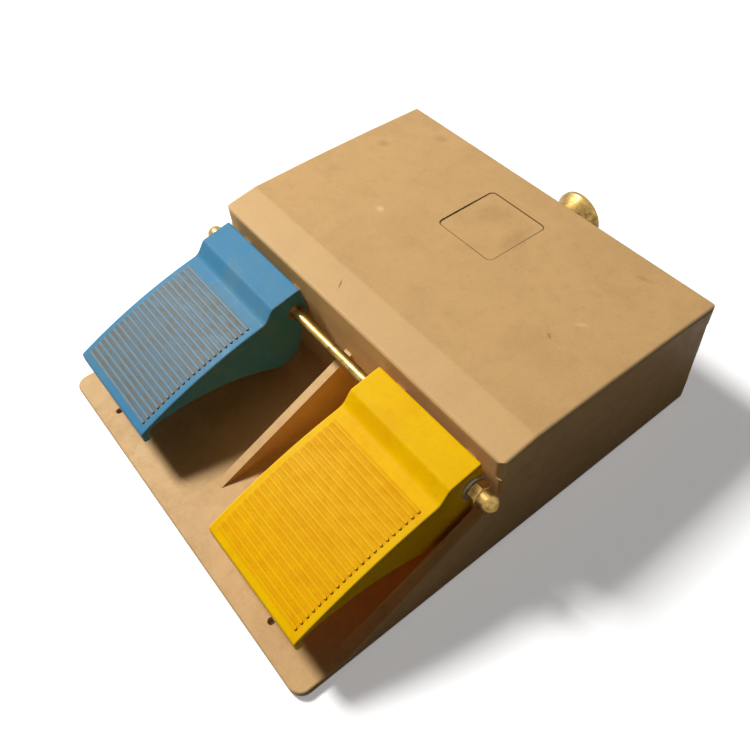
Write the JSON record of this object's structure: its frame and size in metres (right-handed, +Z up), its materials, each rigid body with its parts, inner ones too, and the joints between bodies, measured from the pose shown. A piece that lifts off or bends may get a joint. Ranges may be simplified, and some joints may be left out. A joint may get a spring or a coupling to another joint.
{
  "type": "foot switch",
  "caption": "Foot switch with a blue and a yellow pedal hinged on one shaft in front of a closed cast housing, with a bell-mouthed cable gland at the back.",
  "frame": {"origin": "middle of the outline on the floor, 190 mm behind the front edge of the base", "axes": "+X to the operator's right, +Y from the toes towards the cable gland, +Z up"},
  "size_m": [0.3128, 0.38, 0.0941],
  "materials": {
    "casting_paint": "satin, painted casting",
    "blue_paint": "gloss paint on a casting",
    "yellow_paint": "gloss paint on a casting",
    "black_rubber": "matte",
    "brass": "satin, tarnished",
    "bronze": "satin",
    "zinc_steel": "satin",
    "spring_steel": "satin",
    "black_plastic": "matte",
    "cream_plastic": "matte",
    "white_nylon": "satin"
  },
  "bodies": {
    "base": {"base_casting": "casting_paint", "rubber_feet": "black_rubber", "lid": "casting_paint", "lid_gasket": "black_rubber", "lid_screws": "zinc_steel", "pivot_shaft": "brass", "shaft_washers": "zinc_steel", "cap_nuts": "brass", "plunger_guides": "brass", "plunger_seals": "black_rubber", "guide_locknuts": "brass", "blue_return_spring": "spring_steel", "yellow_return_spring": "spring_steel", "blue_switch_bracket": "zinc_steel", "yellow_switch_bracket": "zinc_steel", "bracket_screws": "zinc_steel", "blue_switch": "black_plastic", "yellow_switch": "black_plastic", "switch_screws": "zinc_steel", "terminal_block": "cream_plastic", "terminal_screws": "brass", "terminal_block_screws": "zinc_steel", "earth_screw": "zinc_steel", "gland_body": "brass", "gland_locknut": "brass", "gland_seal": "black_rubber", "gland_trumpet": "brass"},
    "blue_pedal": {"blue_pedal": "blue_paint", "blue_pedal_bushes": "bronze", "blue_striker_screw": "zinc_steel", "blue_striker_nut": "zinc_steel"},
    "blue_plunger": {"blue_plunger": "zinc_steel", "blue_plunger_collar": "zinc_steel", "blue_switch_tappet": "white_nylon"},
    "yellow_pedal": {"yellow_pedal": "yellow_paint", "yellow_pedal_bushes": "bronze", "yellow_striker_screw": "zinc_steel", "yellow_striker_nut": "zinc_steel"},
    "yellow_plunger": {"yellow_plunger": "zinc_steel", "yellow_plunger_collar": "zinc_steel", "yellow_switch_tappet": "white_nylon"}
  },
  "joints": [
    {"name": "blue_pedal_hinge", "type": "hinge", "parent": "base", "child": "blue_pedal", "pos_m": [-0.09, -0.0473, 0.0675], "axis": [1, 0, 0], "range_deg": [0, 8], "stiffness_Nm_per_rad": 2.5, "springref_deg": -11.46},
    {"name": "blue_plunger_slide", "type": "slide", "parent": "base", "child": "blue_plunger", "axis": [0, 1, 0], "range_m": [0, 0.0045], "deforming": ["blue_return_spring"]},
    {"name": "yellow_pedal_hinge", "type": "hinge", "parent": "base", "child": "yellow_pedal", "pos_m": [0.09, -0.0473, 0.0675], "axis": [1, 0, 0], "range_deg": [0, 8], "stiffness_Nm_per_rad": 2.5, "springref_deg": -11.46},
    {"name": "yellow_plunger_slide", "type": "slide", "parent": "base", "child": "yellow_plunger", "axis": [0, 1, 0], "range_m": [0, 0.0045], "deforming": ["yellow_return_spring"]}
  ],
  "couplings": [
    {"joint": "blue_plunger_slide", "follows": "blue_pedal_hinge", "m_per_rad": 0.032},
    {"joint": "yellow_plunger_slide", "follows": "yellow_pedal_hinge", "m_per_rad": 0.032}
  ]
}
